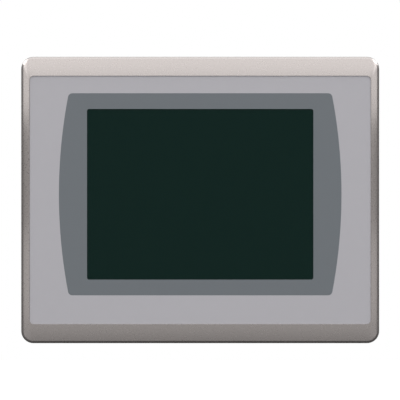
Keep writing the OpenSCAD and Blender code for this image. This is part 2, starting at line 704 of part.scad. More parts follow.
front_bezel();
face_label();
mask_label();
touch_film();
touch_glass();
lcd_foam();
lcd_frame();
lcd_cell();
backlight_films();
light_guide();
led_bar();
backlight_tray();
chassis_spacers();
chassis_plate();
chassis_screws();
display_board();
display_board_parts();
touch_tail();
display_ribbon();
link_ribbon();
panel_gasket();
rear_case();
case_screws();
at_clamp(-1, 1) clip();  // clip_top_left
at_clamp(1, 1) clip();  // clip_top_right
at_clamp(-1, -1) clip();  // clip_bottom_left
at_clamp(1, -1) clip();  // clip_bottom_right
at_clamp(-1, 1) pad();  // pad_top_left
at_clamp(1, 1) pad();  // pad_top_right
at_clamp(-1, -1) pad();  // pad_bottom_left
at_clamp(1, -1) pad();  // pad_bottom_right
at_clamp(-1, 1) clamp_screw();  // screw_top_left
at_clamp(1, 1) clamp_screw();  // screw_top_right
at_clamp(-1, -1) clamp_screw();  // screw_bottom_left
at_clamp(1, -1) clamp_screw();  // screw_bottom_right
logic_case();
case_lugs();
logic_spacers();
logic_board();
board_screws();
heatsink();
logic_chips();
capacitors();
battery_holder();
coin_cell();
battery_door();
door_hinge_pin();
power_header();
power_plug();
terminal_screws();
serial_shell();
serial_insert();
ethernet_jack();
usb_shells();
usb_tongues();
card_socket();
memory_card();
reset_switch();
reset_button();
rating_label();
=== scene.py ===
# %% [markdown]
# # A touch panel for a cabinet door
#
# An operator panel is two things in one. From the front it is a calm face: a sloped metal-grey
# bezel, a matt label, a darker mask whose sides bow outwards, and a switched-off display. From
# behind it is a machine: a seal, two vented cases, four screw clamps and a row of sockets.
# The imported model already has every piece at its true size, so this lesson is about surfaces.
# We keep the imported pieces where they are, make finer pieces to stand for the ones that show,
# and give each of them a finish that is built from nodes.

import json
import math

import bpy
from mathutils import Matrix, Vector


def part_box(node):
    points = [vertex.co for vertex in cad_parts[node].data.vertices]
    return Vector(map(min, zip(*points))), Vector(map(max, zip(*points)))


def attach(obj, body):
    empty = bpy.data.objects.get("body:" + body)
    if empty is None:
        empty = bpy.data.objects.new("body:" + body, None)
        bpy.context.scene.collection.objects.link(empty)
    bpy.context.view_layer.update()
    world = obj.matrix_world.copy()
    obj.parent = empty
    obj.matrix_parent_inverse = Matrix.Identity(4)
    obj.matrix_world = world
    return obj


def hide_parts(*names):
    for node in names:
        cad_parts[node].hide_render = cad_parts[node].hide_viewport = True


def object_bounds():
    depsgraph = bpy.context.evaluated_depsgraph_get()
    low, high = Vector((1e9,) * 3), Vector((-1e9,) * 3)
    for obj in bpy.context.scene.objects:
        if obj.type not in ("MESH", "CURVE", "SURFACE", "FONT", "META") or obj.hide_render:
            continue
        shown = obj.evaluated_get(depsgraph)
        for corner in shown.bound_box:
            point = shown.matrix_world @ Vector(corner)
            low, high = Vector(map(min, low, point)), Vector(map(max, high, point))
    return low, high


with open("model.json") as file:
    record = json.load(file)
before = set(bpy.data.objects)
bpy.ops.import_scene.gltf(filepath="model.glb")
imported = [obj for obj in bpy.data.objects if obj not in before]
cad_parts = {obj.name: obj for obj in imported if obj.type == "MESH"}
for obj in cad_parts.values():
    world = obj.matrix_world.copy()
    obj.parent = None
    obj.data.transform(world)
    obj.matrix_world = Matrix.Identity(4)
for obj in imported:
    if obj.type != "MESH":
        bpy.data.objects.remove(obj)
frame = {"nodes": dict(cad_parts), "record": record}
cad_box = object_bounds()
MM = 0.001
scene = bpy.context.scene
bodies_of = {n: b for b, ns in frame["record"]["behaviour"]["bodies"].items() for n in ns}
slot_of = {s["node"]: s["material_slot"] for s in frame["record"]["subparts"]}
print("size in mm:", [round(v / MM, 1) for v in cad_box[1] - cad_box[0]])

# %% [markdown]
# ## The camera
#
# A product shot of a flat face is taken square on, from far away with a long lens, so that the
# sides of the bezel stay parallel. The distance follows from the lens: the picture is a little
# wider than the bezel, and the bezel fills nine tenths of it.

# %% A long lens, square to the face
LENS = 1000
SENSOR = 36
PICTURE_WIDTH = 203.4 * MM
RIM_PLANE = -4 * MM

camera_data = bpy.data.cameras.new("front_camera")
camera_data.lens = LENS
camera_data.sensor_width = SENSOR
camera_data.clip_start = 0.05
camera_data.clip_end = 60
camera = bpy.data.objects.new("front_camera", camera_data)
camera.location = (-0.0001, RIM_PLANE - PICTURE_WIDTH * LENS / SENSOR, 0)
camera.rotation_euler = (math.radians(90), 0, 0)
scene.collection.objects.link(camera)
scene.camera = camera
scene.view_settings.view_transform = "Standard"
print("camera distance in m:", round(-camera.location.y, 3))

# %% [markdown]
# ## Maths on sockets
#
# A finish is a small graph of nodes. Wiring a graph by hand hides the idea behind it, so two
# small classes let us write it as arithmetic. `Wire` holds one output socket and turns +, -, *
# and / into Math nodes, on either side of a number. `Tree` holds the graph of a material or of
# the world, and one method of it adds any node: its type, its settings, then its sockets.

# %% Wires and trees
HARD_STEP = 1e-6


class Wire:
    """One output socket. Arithmetic on it adds Math nodes."""

    def __init__(self, tree, socket):
        self.tree, self.socket = tree, socket

    def __add__(self, other):
        return self.tree.maths("ADD", self, other)

    def __sub__(self, other):
        return self.tree.maths("SUBTRACT", self, other)

    def __rsub__(self, other):
        return self.tree.maths("SUBTRACT", other, self)

    def __mul__(self, other):
        return self.tree.maths("MULTIPLY", self, other)

    def __truediv__(self, other):
        return self.tree.maths("DIVIDE", self, other)

    __radd__, __rmul__ = __add__, __mul__

    def over(self, edge, width=HARD_STEP):
        """0 below edge and 1 above it, with a soft step of that width."""
        settings = {"interpolation_type": "SMOOTHSTEP"}
        values = {"Value": self, "From Min": edge - width / 2, "From Max": edge + width / 2}
        return self.tree.node("ShaderNodeMapRange", settings, values)

    def between(self, low, high, width=HARD_STEP):
        return self.over(low, width) * (1 - self.over(high, width))


class Tree:
    """The nodes and links of a material or of the world."""

    def __init__(self, tree):
        self.nodes, self.links = tree.nodes, tree.links

    def node(self, kind, settings=None, inputs=None, output=0):
        made = self.nodes.new(kind)
        for key, value in (settings or {}).items():
            if key == "stops":
                self.set_stops(made.color_ramp, value)
            else:
                setattr(made, key, value)
        for key, value in (inputs or {}).items():
            self.join(value, made.inputs[key])
        return Wire(self, made.outputs[output])

    def join(self, value, socket):
        if isinstance(value, Wire):
            self.links.new(value.socket, socket)
        else:
            socket.default_value = value

    def maths(self, operation, a, b=0.0):
        return self.node("ShaderNodeMath", {"operation": operation}, {0: a, 1: b})

    @staticmethod
    def set_stops(ramp, stops):
        """Greys of a ramp, each given as its place and its brightness."""
        while len(ramp.elements) < len(stops):
            ramp.elements.new(0.5)
        for element, (at, grey) in zip(ramp.elements, stops):
            element.position, element.color = at, (grey, grey, grey, 1)


print("a soft step by default is this wide:", HARD_STEP)

# %% [markdown]
# `Finish` is the tree of one material, built around the Principled shader. It reads the piece's
# own coordinates, so a pattern stays on the piece when that moves, and it names the few textures
# that all our finishes come from: noise for what is uneven, cells for grains and dots, a blend
# for colour and a bump for relief.

# %% Finishes
class Finish(Tree):
    """One material, built around the Principled shader."""

    def __init__(self, name, colour, roughness, metallic=0.0, **constants):
        self.material = bpy.data.materials.new(name)
        self.material.use_nodes = True
        super().__init__(self.material.node_tree)
        self.shader = self.nodes["Principled BSDF"]
        self.colour = (*colour, 1)
        sockets = {"Base Color": self.colour, "Roughness": roughness, "Metallic": metallic}
        self.feed(**{**sockets, **{k.replace("_", " "): v for k, v in constants.items()}})
        self.material.diffuse_color = self.colour

    def feed(self, **sockets):
        for name, value in sockets.items():
            self.join(value, self.shader.inputs[name])
        return self

    def place(self, axis=None):
        """The piece's own coordinates in metres, or one of them by its letter."""
        here = self.node("ShaderNodeTexCoord", output="Object")
        if axis is None:
            return here
        return self.node("ShaderNodeSeparateXYZ", None, {0: here}, output="XYZ".index(axis))

    def stretched(self, x, y, z):
        """Coordinates scaled along each axis, for grain that runs one way."""
        return self.node("ShaderNodeMapping", None, {"Vector": self.place(), "Scale": (x, y, z)})

    def noise(self, scale, detail=2.0, where=None):
        inputs = {"Vector": where or self.place(), "Scale": scale, "Detail": detail}
        return self.node("ShaderNodeTexNoise", None, inputs)

    def cells(self, scale):
        inputs = {"Vector": self.place(), "Scale": scale}
        return self.node("ShaderNodeTexVoronoi", None, inputs)

    def blend(self, share, a, b):
        """Colour a where share is 0 and b where it is 1."""
        inputs = {"Factor": share, 6: self.paint(a), 7: self.paint(b)}
        return self.node("ShaderNodeMix", {"data_type": "RGBA"}, inputs, output=2)

    @staticmethod
    def paint(colour):
        return colour if isinstance(colour, Wire) else (*colour[:3], 1)

    def relief(self, height, depth, strength=1.0):
        """Bump from a height of 0 to 1, that deep in metres."""
        inputs = {"Height": height, "Distance": depth, "Strength": strength}
        return self.feed(Normal=self.node("ShaderNodeBump", None, inputs))


def shade(colour, factor):
    return tuple(c * factor for c in colour)


print("mid grey at half strength:", shade((0.5, 0.5, 0.5), 0.5))

# %% [markdown]
# ## The sky
#
# The face is lit as a catalogue shot is: bright above, dark below. The sloped rim works like a
# dull mirror, so its top slope reflects the sky and its bottom slope the dark. A ramp from
# nadir to zenith holds that brightness, and it is turned down behind the panel, so that the
# back is lit by lamps. The camera itself should see only white, so the sky shows white to
# camera rays and its working brightness to everything else.

# %% A sky that is bright above
SKY_STOPS = [(0.0, 0.06), (0.36, 0.08), (0.48, 0.10), (0.54, 0.18), (0.61, 0.62), (0.68, 1.25),
             (0.82, 1.42), (1.0, 1.30)]
BEHIND = 0.32

world = bpy.data.worlds.new("studio")
scene.world = world
world.use_nodes = True
world.node_tree.nodes.clear()
sky = Tree(world.node_tree)
direction = sky.node("ShaderNodeTexCoord", output="Generated")
back, up = [sky.node("ShaderNodeSeparateXYZ", None, {0: direction}, axis) for axis in "YZ"]
lowered = up + sky.node("ShaderNodeMapRange", None, {"Value": back, "To Max": -BEHIND})
height = sky.node("ShaderNodeMapRange", None, {"Value": lowered, "From Min": -1})
light = sky.node("ShaderNodeValToRGB", {"stops": SKY_STOPS}, {"Fac": height})
working = sky.node("ShaderNodeBackground", None, {"Color": light})
white = sky.node("ShaderNodeBackground", None, {"Color": (1, 1, 1, 1)})
seen = sky.node("ShaderNodeLightPath", output="Is Camera Ray")
shown = sky.node("ShaderNodeMixShader", None, {0: seen, 1: working, 2: white})
sky.join(shown, sky.nodes.new("ShaderNodeOutputWorld").inputs["Surface"])
print("sky runs from", SKY_STOPS[0][1], "to", SKY_STOPS[-1][1])

# %% [markdown]
# ## The floor
#
# The floor is a pale paper sheet that looks white to the camera. To every other ray it is a
# darker cloth, black under and behind the panel and grey far in front, because the bezel's
# lower slope mirrors it. It lies well below the panel, and it is clear from underneath, so
# that the sockets can be looked at from below.

# %% Paper above, cloth for reflections
FLOOR_DROP = 0.30
FLOOR_SIZE = 40
CLOTH_DARK, CLOTH_GREY = 0.04, 0.31
FAR_EDGE, FAR_SOFT = 0.35, 0.6
REAR_EDGE, REAR_SOFT = 0.1, 0.3
PAPER_GLOW = 0.78

bpy.ops.mesh.primitive_plane_add(size=FLOOR_SIZE, location=(0, 0, cad_box[0].z - FLOOR_DROP))
floor = bpy.context.object
floor.name = "studio_floor"
paper = Finish("pale_floor", (0.8, 0.8, 0.8), 0.9)
glow = paper.node("ShaderNodeEmission", None, {"Color": (1, 1, 1, 1), "Strength": PAPER_GLOW})
lit = paper.node("ShaderNodeAddShader", None, {0: Wire(paper, paper.shader.outputs[0]), 1: glow})
reach = paper.node("ShaderNodeVectorMath", {"operation": "LENGTH"}, {0: paper.place()}, "Value")
front = reach.over(FAR_EDGE, FAR_SOFT) * (1 - paper.place("Y").over(REAR_EDGE, REAR_SOFT))
near, far = [paper.node("ShaderNodeBsdfDiffuse", None, {"Color": (grey, grey, grey, 1)})
             for grey in (CLOTH_DARK, CLOTH_GREY)]
cloth = paper.node("ShaderNodeMixShader", None, {0: front, 1: near, 2: far})
seen = paper.node("ShaderNodeLightPath", output="Is Camera Ray")
mixed = paper.node("ShaderNodeMixShader", None, {0: seen, 1: cloth, 2: lit})
below = paper.node("ShaderNodeNewGeometry", output="Backfacing")
nothing = paper.node("ShaderNodeBsdfTransparent")
paper.join(paper.node("ShaderNodeMixShader", None, {0: below, 1: mixed, 2: nothing}),
           paper.nodes["Material Output"].inputs["Surface"])
floor.data.materials.append(paper.material)
print("floor at z in mm:", round(floor.location.z / MM, 1))


# %% [markdown]
# ## Lamps and cards
#
# A softbox in front and above evens out the matt face. It is left out of reflections, or the
# rim would mirror it. Behind the panel, two wide lamps fill the dark cases and two smaller
# ones at the sides draw highlights along their edges. Last come the cards: a tall pair beside
# the panel's upper half and a dim pair lower down, which is why the side rims are light at the
# top and grey below. They light only what shines, so the label stays even, and they end just
# behind the door's face, or the cases would mirror them.

# %% Softboxes and cards
def softbox(name, at, towards, size, power, diffuse=True, glossy=True):
    data = bpy.data.lights.new(name, "AREA")
    data.shape, data.size, data.size_y, data.energy = "RECTANGLE", size[0], size[1], power
    lamp = bpy.data.objects.new(name, data)
    lamp.location = at
    lamp.rotation_euler = (Vector(towards) - Vector(at)).to_track_quat("-Z", "Y").to_euler()
    lamp.visible_camera, lamp.visible_diffuse, lamp.visible_glossy = False, diffuse, glossy
    scene.collection.objects.link(lamp)
    return lamp


CARD_X, CARD_Y, CARD_DEPTH = 0.165, -0.034, 0.092
CARDS = {"upper": (0.1025, 0.116, 0.0286), "lower": (-0.042, 0.05, 0.0037)}

softbox("front_fill", (0, -1.4, 0.9), (0, 0, 0), (1.8, 1.2), 9.15, glossy=False)
softbox("rear_fill", (0, 1.2, 0.9), (0, 0, 0), (1.2, 1.2), 6, glossy=False)
softbox("rear_low", (-0.3, 1.2, -0.25), (0, 0, -0.02), (0.9, 0.6), 4, glossy=False)
for side in (-1, 1):
    softbox(f"rear_diagonal_{side}", (side * 0.95, 0.85, 0.80), (0, 0.02, 0), (0.55, 0.55), 5)
    for name, (z, tall, power) in CARDS.items():
        softbox(f"{name}_card_{side}", (side * CARD_X, CARD_Y, z), (0, CARD_Y, z),
                (CARD_DEPTH, tall), power, diffuse=False)

# %% [markdown]
# ## Working in edit mode
#
# Operators act on whatever is selected, so each step starts by selecting one piece alone. Faces
# and edges are then picked by where they are. These few helpers keep that short. The last ones
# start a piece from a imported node, round its edges, and hand it over with its finish.

# %% Selecting and finishing
MERGE = 0.002 * MM
FLAT = 0.4
SHARP = 38


def alone(piece):
    if bpy.context.object and bpy.context.object.mode == "EDIT":
        bpy.ops.object.mode_set(mode="OBJECT")
    bpy.ops.object.select_all(action="DESELECT")
    piece.select_set(True)
    bpy.context.view_layer.objects.active = piece
    return piece


def edit(piece, everything=True):
    alone(piece)
    bpy.ops.object.mode_set(mode="EDIT")
    bpy.ops.mesh.select_all(action="SELECT" if everything else "DESELECT")


def done():
    bpy.ops.object.mode_set(mode="OBJECT")


def pick(piece, wanted):
    """Selects the vertices that pass the test and nothing else, in edit mode."""
    edit(piece, everything=False)
    done()
    for v in piece.data.vertices:
        v.select = wanted(v)
    bpy.ops.object.mode_set(mode="EDIT")


def applied(piece, kind, **settings):
    alone(piece)
    modifier = piece.modifiers.new(kind.lower(), kind)
    for key, value in settings.items():
        setattr(modifier, key, value)
    bpy.ops.object.modifier_apply(modifier=modifier.name)


def smooth(piece, angle=35):
    alone(piece)
    bpy.ops.object.shade_smooth_by_angle(angle=math.radians(angle))


def merged_copy(node):
    """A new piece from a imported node, its loose triangles merged into whole faces."""
    piece = bpy.data.objects.new(f"{node}_finished", frame["nodes"][node].data.copy())
    scene.collection.objects.link(piece)
    edit(piece)
    bpy.ops.mesh.remove_doubles(threshold=MERGE)
    bpy.ops.mesh.dissolve_limited(angle_limit=math.radians(FLAT))
    done()
    return piece


def rounded(piece, edge, steps=2):
    """Rounds every sharp edge, that wide in millimetres."""
    applied(piece, "BEVEL", width=edge * MM, segments=steps, limit_method="ANGLE",
            angle_limit=math.radians(SHARP), use_clamp_overlap=False)


def weighted(piece):
    """Keeps broad faces flat, so that only the roundings catch the light."""
    smooth(piece, SHARP)
    applied(piece, "WEIGHTED_NORMAL", keep_sharp=True)
    return piece


def hand_over(piece, body, finish, slot, *stands_for):
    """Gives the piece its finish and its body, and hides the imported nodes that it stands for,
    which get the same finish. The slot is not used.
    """
    for mesh in [piece.data] + [frame["nodes"][node].data for node in stands_for]:
        mesh.materials.clear()
        mesh.materials.append(finish.material)
    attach(piece, body)
    if stands_for:
        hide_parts(*stands_for)
    print(piece.name, "triangles:", sum(len(p.vertices) - 2 for p in piece.data.polygons))
    return piece


print("nodes to dress or to stand for:", len(frame["nodes"]))

# %% [markdown]
# ## The bezel
#
# The bezel is one casting: a rectangle with rounded corners in every cross-section. From its
# back edge a side wall comes forward, turns over a tight steep edge, and runs up a shallow
# domed slope to the crest. Then it drops into the pocket that holds the label, and on to the
# openings for the touch sensor and the display. It could be cut from a block with booleans, but
# every level is a rounded rectangle, so we stack the levels as rings and bridge each to the
# next, as a boat builder planks over frames. All rings have the same number of points, so the
# bridges are clean quads.

# %% Rings bridged into one closed shell
CORNER_STEPS = 10
APART = 0.2


def add_ring(width, height, radius, y):
    """Adds one rounded rectangle of edges, facing -Y, to the mesh in edit mode."""
    bpy.ops.mesh.select_all(action="DESELECT")
    bpy.ops.mesh.primitive_plane_add(size=1, location=(0, y, 0), rotation=(math.pi / 2, 0, 0))
    bpy.ops.transform.resize(value=(width, 1, height), center_override=(0, y, 0))
    bpy.ops.mesh.bevel(offset=radius, segments=CORNER_STEPS, affect="VERTICES", offset_type="OFFSET")
    bpy.ops.mesh.delete(type="ONLY_FACE")


def planked(name, rings):
    """A closed shell of rings: width, height, corner radius, y and how far up, in mm.

    Each ring is bridged to the next, and the last to the first. They are made far apart, so
    that no two lie in one plane while they are bridged, and then slid to their places."""
    mesh = bpy.data.meshes.new(name)
    piece = bpy.data.objects.new(name, mesh)
    scene.collection.objects.link(piece)
    edit(piece)
    for i, (width, height, radius, *_) in enumerate(rings):
        add_ring(width * MM, height * MM, radius * MM, i * APART)
    done()
    count = len(mesh.vertices) // len(rings)
    for i in range(len(rings)):
        pick(piece, lambda v: v.index // count in (i, (i + 1) % len(rings)))
        bpy.ops.mesh.bridge_edge_loops()
        done()
    for i, (_, _, _, y, *up) in enumerate(rings):
        pick(piece, lambda v: v.index // count == i)
        bpy.ops.transform.translate(value=(0, y * MM - i * APART, sum(up) * MM))
        done()
    edit(piece)
    bpy.ops.mesh.normals_make_consistent(inside=False)
    done()
    return piece


print("points on a ring:", 4 * (CORNER_STEPS + 1))

# %% [markdown]
# The casting's section is written as a list of levels. It starts at the back edge, whose
# corner is broken, turns through a quarter of an ellipse for the steep outer edge, follows a
# shallow curve up to the crest and drops into the pocket. The rest is out of sight from the
# front: the openings, the cavity for the display, and the groove for the seal. The openings
# sit a little above the middle, as the display does.

# %% The bezel's levels, from the back edge round to the back again
bezel_low, bezel_high = [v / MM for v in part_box("front_bezel")]
WIDTH, HEIGHT = bezel_high.x - bezel_low.x, bezel_high.z - bezel_low.z
CREST, BACK = bezel_low.y, bezel_high.y
RADIUS, BROKEN = 6.2, 0.4
EDGE_W, EDGE_RISE, SLOPE_RISE = 1.2, 3.0, 2.4
SIDE_IN, END_IN, INNER_R = 4.2, 9.72, 2.3
LAND = 0.05


def level(inset_x, inset_z, radius, y):
    return (WIDTH - 2 * inset_x, HEIGHT - 2 * inset_z, radius, y)


def edge_level(t):
    rise = EDGE_RISE * (1 - t / 2 - math.sqrt(1 - (1 - t) ** 2) / 2)
    return level(t * EDGE_W, t * EDGE_W, RADIUS - t * EDGE_W, CREST + SLOPE_RISE + rise)


def slope_level(v):
    start, end = RADIUS - EDGE_W, INNER_R + LAND
    x = EDGE_W + v * (SIDE_IN - LAND - EDGE_W)
    z = EDGE_W + v * (END_IN - LAND - EDGE_W)
    return level(x, z, start + v * (end - start), CREST + SLOPE_RISE * (1 - v) * (1 - 0.3 * v))


rings = [level(BROKEN, BROKEN, RADIUS - BROKEN, BACK),
         level(0.12, 0.12, RADIUS - 0.12, BACK - 0.12), level(0, 0, RADIUS, BACK - BROKEN)]
rings += [edge_level(t) for t in (0, 0.02, 0.06, 0.12, 0.2, 0.3, 0.42, 0.56, 0.72, 0.88)]
rings += [slope_level(v) for v in (0, 0.12, 0.25, 0.4, 0.55, 0.7, 0.85, 1)]
print("levels of the visible rim:", len(rings))

# %% [markdown]
# Behind the label, the casting steps back three times: a rebate for the touch sensor, a narrow
# shelf that the sensor rests on, and the cavity that takes the display. In its back face is the
# groove for the seal. Each step is a pair of levels of one size.

# %% Pocket, openings and seal groove
VIEW_UP = 2.9
POCKET_Y = CREST + 0.8
SENSOR_Y, SHELF_Y, GROOVE_Y = POCKET_Y + 2, POCKET_Y + 3, BACK - 1
SENSOR_SIZE, VIEW_SIZE, CAVITY_SIZE = (132.6, 104.6, 1), (119, 90, 1), (127.6, 99, 1)
GROOVE_IN, GROOVE_OUT = (162.6, 126.6, 3), (175.4, 139.4, 5)

rings += [level(SIDE_IN, END_IN, INNER_R, CREST + LAND), level(SIDE_IN, END_IN, INNER_R, POCKET_Y)]
for size, start, end in ((SENSOR_SIZE, POCKET_Y, SENSOR_Y), (VIEW_SIZE, SENSOR_Y, SHELF_Y),
                         (CAVITY_SIZE, SHELF_Y, BACK)):
    rings += [(*size, start, VIEW_UP), (*size, end, VIEW_UP)]
rings += [(*GROOVE_IN, BACK), (*GROOVE_IN, GROOVE_Y), (*GROOVE_OUT, GROOVE_Y), (*GROOVE_OUT, BACK)]
bezel = planked("bezel_casting", rings)
smooth(bezel, 30)
print("bezel levels:", len(rings))

# %% [markdown]
# The casting is sprayed with a warm grey paint that has fine metal flakes in it, then left
# satin. Up close the paint is never quite flat: it has a faint orange peel, and the flakes make
# the colour and the gloss vary in specks about a tenth of a millimetre wide. The part-metallic
# shader gives the dull mirror look, and two noises at those scales give the peel and the flakes.

# %% Satin flake paint
flake_paint = Finish("satin_flake_paint", (0.50, 0.46, 0.445), 0.28, 0.78, Specular_IOR_Level=0.5)
flakes = flake_paint.noise(5200, 1)
peel = flake_paint.noise(900, 2)
flake_paint.feed(**{
    "Base Color": flake_paint.blend(flakes, (0.525, 0.482, 0.466), (0.472, 0.434, 0.420)),
    "Roughness": 0.23 + peel * 0.08 + flakes * 0.03})
flake_paint.relief(peel, 0.005 * MM, 0.3)
hand_over(bezel, "panel", flake_paint, "bezel_grey", "front_bezel")

# %% [markdown]
# ## The face
#
# Label, mask and touch film are thin plastic films. A printed polycarbonate film is not shiny:
# its surface is sanded or coated to a velvet, which is a bump far finer than a hair. The inks
# are printed behind it, so each colour is even, with the slightest mottle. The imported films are
# exact, so they stay and only get their finish.

# %% Printed film
def printed_film(name, colour, roughness=0.5):
    film = Finish(name, colour, roughness, Specular_IOR_Level=0.35)
    velvet = film.noise(7000, 2)
    mottle = film.noise(160, 3)
    film.feed(**{"Base Color": film.blend(mottle, shade(colour, 0.985), shade(colour, 1.015)),
                 "Roughness": roughness - 0.05 + velvet * 0.1})
    return film.relief(velvet, 0.004 * MM, 0.5)


def dress(finish, *nodes):
    """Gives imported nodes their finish. Their meshes are not touched."""
    for node in nodes:
        mesh = frame["nodes"][node].data
        mesh.materials.clear()
        mesh.materials.append(finish.material)


FACE = (0.44, 0.43, 0.457)
MASK = (0.152, 0.168, 0.183)
dress(printed_film("light_film", FACE), "face_label")
dress(printed_film("dark_film", MASK), "mask_label")
print("face is", round(FACE[1] / MASK[1], 1), "times as bright as the mask")

# %% [markdown]
# A display that is off looks dark green through its touch film. The film is clear but has a
# fine anti-glare surface, so it gives back a broad, weak sheen, and the cell behind it is nearly
# black. Its dots are 0.18 mm wide with three colour stripes each, which only show close up.

# %% Touch film, glass and display
film = Finish("anti_glare_film", (0.0046, 0.0188, 0.0152), 0.34, Alpha=0.9, Specular_IOR_Level=0.1)
etch = film.noise(9000, 1)
film.feed(Roughness=0.30 + etch * 0.08)
film.relief(etch, 0.003 * MM, 0.4)
dress(film, "touch_film")

clear = Finish("clear_glass", (0.75, 0.83, 0.8), 0.05, Alpha=0.15)
clear.feed(Roughness=0.03 + clear.noise(400, 2) * 0.05)
dress(clear, "touch_glass")

DOT = 0.18 * MM
cell = Finish("display_cell", (0.006, 0.014, 0.012), 0.2)
across, upwards = [cell.maths("FRACT", cell.place(axis) / DOT) for axis in "XZ"]
grid = across.over(0.1, 0.05) * upwards.over(0.1, 0.05)
stripes = cell.blend(across.over(0.4, 0.02), (0.010, 0.016, 0.012), (0.006, 0.020, 0.014))
stripes = cell.blend(across.over(0.7, 0.02), stripes, (0.006, 0.014, 0.018))
cell.feed(**{"Base Color": cell.blend(grid, (0.002, 0.003, 0.003), stripes)})
dress(cell, "lcd_cell")

# %% [markdown]
# ## Edges that catch the light
#
# No moulded or folded part has a knife edge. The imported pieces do, because their sizes come
# first, and a render gives that away at once. So each visible piece is copied, its loose
# triangles are merged into whole faces, and its sharp edges get a small rounding. Weighted
# normals then keep the broad faces flat and let only the rounding catch the light.

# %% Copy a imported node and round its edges
def softened(node, finish, edge=0.25, steps=2, where=None):
    """where(vertex) limits the rounding to the edges between the vertices that pass it."""
    piece = merged_copy(node)
    if where:
        pick(piece, where)
        bpy.ops.mesh.bevel(offset=edge * MM, segments=steps, affect="EDGES")
        done()
    else:
        rounded(piece, edge, steps)
    return hand_over(weighted(piece), bodies_of[node], finish, slot_of[node], node)


def back_rim(node, margin=3.2):
    """A test for the vertices round the outside of a case's back face."""
    low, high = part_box(node)
    back = max(v.co.y for v in frame["nodes"][node].data.vertices)

    def on_rim(v):
        outside = min(v.co.x - low.x, high.x - v.co.x, v.co.z - low.z, high.z - v.co.z)
        return back - v.co.y < 0.01 * MM and outside < margin * MM

    return on_rim


print("corners sharper than", SHARP, "degrees are rounded")

# %% [markdown]
# ## Moulded plastic and coated steel
#
# The rear case is moulded in a tool whose steel was spark-eroded, so the plastic has an even
# sparkle of tiny pits. The logic case is folded sheet with powder coat, which is smoother and
# wavier. Both darken a little where hands and dust have been. One recipe serves: a fine noise
# for pits or peel, and a slow noise for wear.

# %% Plastics, coats and rubber
def moulded(name, colour, roughness=0.55, pits=1800, depth=0.02, strength=0.35, **constants):
    plastic = Finish(name, colour, roughness, **constants)
    fine = plastic.noise(pits, 3)
    slow = plastic.noise(45, 4)
    plastic.feed(**{
        "Base Color": plastic.blend(slow, shade(colour, 0.86), shade(colour, 1.14)),
        "Roughness": roughness - 0.08 + slow * 0.1 + fine * 0.06})
    return plastic.relief(fine, depth * MM, strength)


case_plastic = moulded("eroded_plastic", (0.045, 0.049, 0.053), 0.52)
coated_steel = moulded("powder_coat", (0.064, 0.070, 0.075), 0.46, pits=900, depth=0.03)
clip_plastic = moulded("glass_filled_plastic", (0.022, 0.024, 0.026), 0.5, pits=1200)
pad_plastic = moulded("pad_plastic", (0.014, 0.014, 0.015), 0.6)
holder_plastic = moulded("holder_plastic", (0.016, 0.016, 0.018), 0.45)
seal_rubber = moulded("seal_rubber", (0.021, 0.022, 0.023), 0.62, pits=2600, depth=0.01)
green_plastic = moulded("terminal_plastic", (0.030, 0.205, 0.070), 0.38, pits=1400, depth=0.01)
port_black = moulded("socket_plastic", (0.010, 0.010, 0.011), 0.42)
button_plastic = moulded("button_plastic", (0.60, 0.60, 0.58), 0.36, pits=1400, depth=0.008)
print("moulded finishes:", [m.name for m in bpy.data.materials if m.name.endswith("_plastic")])

# %% [markdown]
# ## Plated metals
#
# Zinc on a screw is cool grey with a faint blue and yellow bloom, nickel on a connector is
# warmer and brighter, tin on a shield is dull with fine rolling lines. They share one recipe:
# full metal, a streak noise stretched along one axis for the rolling or turning marks, and a
# slow blotch that shifts colour and gloss.

# %% Metals
def plated(name, colour, tint, roughness, grain=(900, 900, 90), depth=0.004):
    metal = Finish(name, colour, roughness, 1.0)
    streak = metal.noise(1.0, 2, metal.stretched(*grain))
    blotch = metal.noise(220, 3)
    metal.feed(**{"Base Color": metal.blend(blotch.over(0.52, 0.3), colour, tint),
                  "Roughness": roughness - 0.06 + streak * 0.12 + blotch * 0.06})
    return metal.relief(streak, depth * MM, 0.3)


zinc = plated("zinc_plate", (0.62, 0.64, 0.67), (0.66, 0.64, 0.58), 0.30, (1200, 300, 1200))
nickel = plated("nickel_plate", (0.66, 0.63, 0.58), (0.60, 0.58, 0.55), 0.20, (300, 300, 2000))
tin = plated("tinned_shield", (0.60, 0.61, 0.62), (0.54, 0.55, 0.57), 0.34, (200, 1500, 1500))
sheet_steel = plated("plated_sheet", (0.56, 0.57, 0.58), (0.60, 0.59, 0.56), 0.36, (80, 900, 900))
brass = plated("turned_brass", (0.72, 0.52, 0.22), (0.66, 0.46, 0.20), 0.28, (900, 60, 900))
can_steel = plated("cell_can", (0.70, 0.70, 0.69), (0.64, 0.65, 0.66), 0.22, (600, 600, 600))
anodised = plated("extruded_aluminium", (0.42, 0.43, 0.45), (0.38, 0.39, 0.41), 0.4,
                  (1500, 1500, 60), 0.01)
print("zinc nodes:", len(zinc.nodes))

# %% [markdown]
# ## The seal
#
# The seal is a closed ring of soft rubber that stands a millimetre out of its groove. Its
# outside corners are round, because it was cut and pressed, and a shallow channel runs along
# its middle so that two lips press on the door. It is made of rings, as the bezel is.

# %% A two-lipped rubber ring
seal_low, seal_high = [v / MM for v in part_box("panel_gasket")]
OUT_W, OUT_H = seal_high.x - seal_low.x, seal_high.z - seal_low.z


def seal_level(inset, y):
    return (OUT_W - 2 * inset, OUT_H - 2 * inset, 5 - inset / 3, y)


SECTION = [(0, -2), (0, -0.45), (0.12, -0.15), (0.45, 0), (1.9, 0), (2.2, -0.1), (2.5, -0.35),
           (3.5, -0.35), (3.8, -0.1), (4.1, 0), (5.55, 0), (5.88, -0.15), (6, -0.45), (6, -2)]
seal = planked("door_seal", [seal_level(inset, y) for inset, y in SECTION])
smooth(seal, 50)
hand_over(seal, "panel", seal_rubber, "seal_rubber", "panel_gasket")

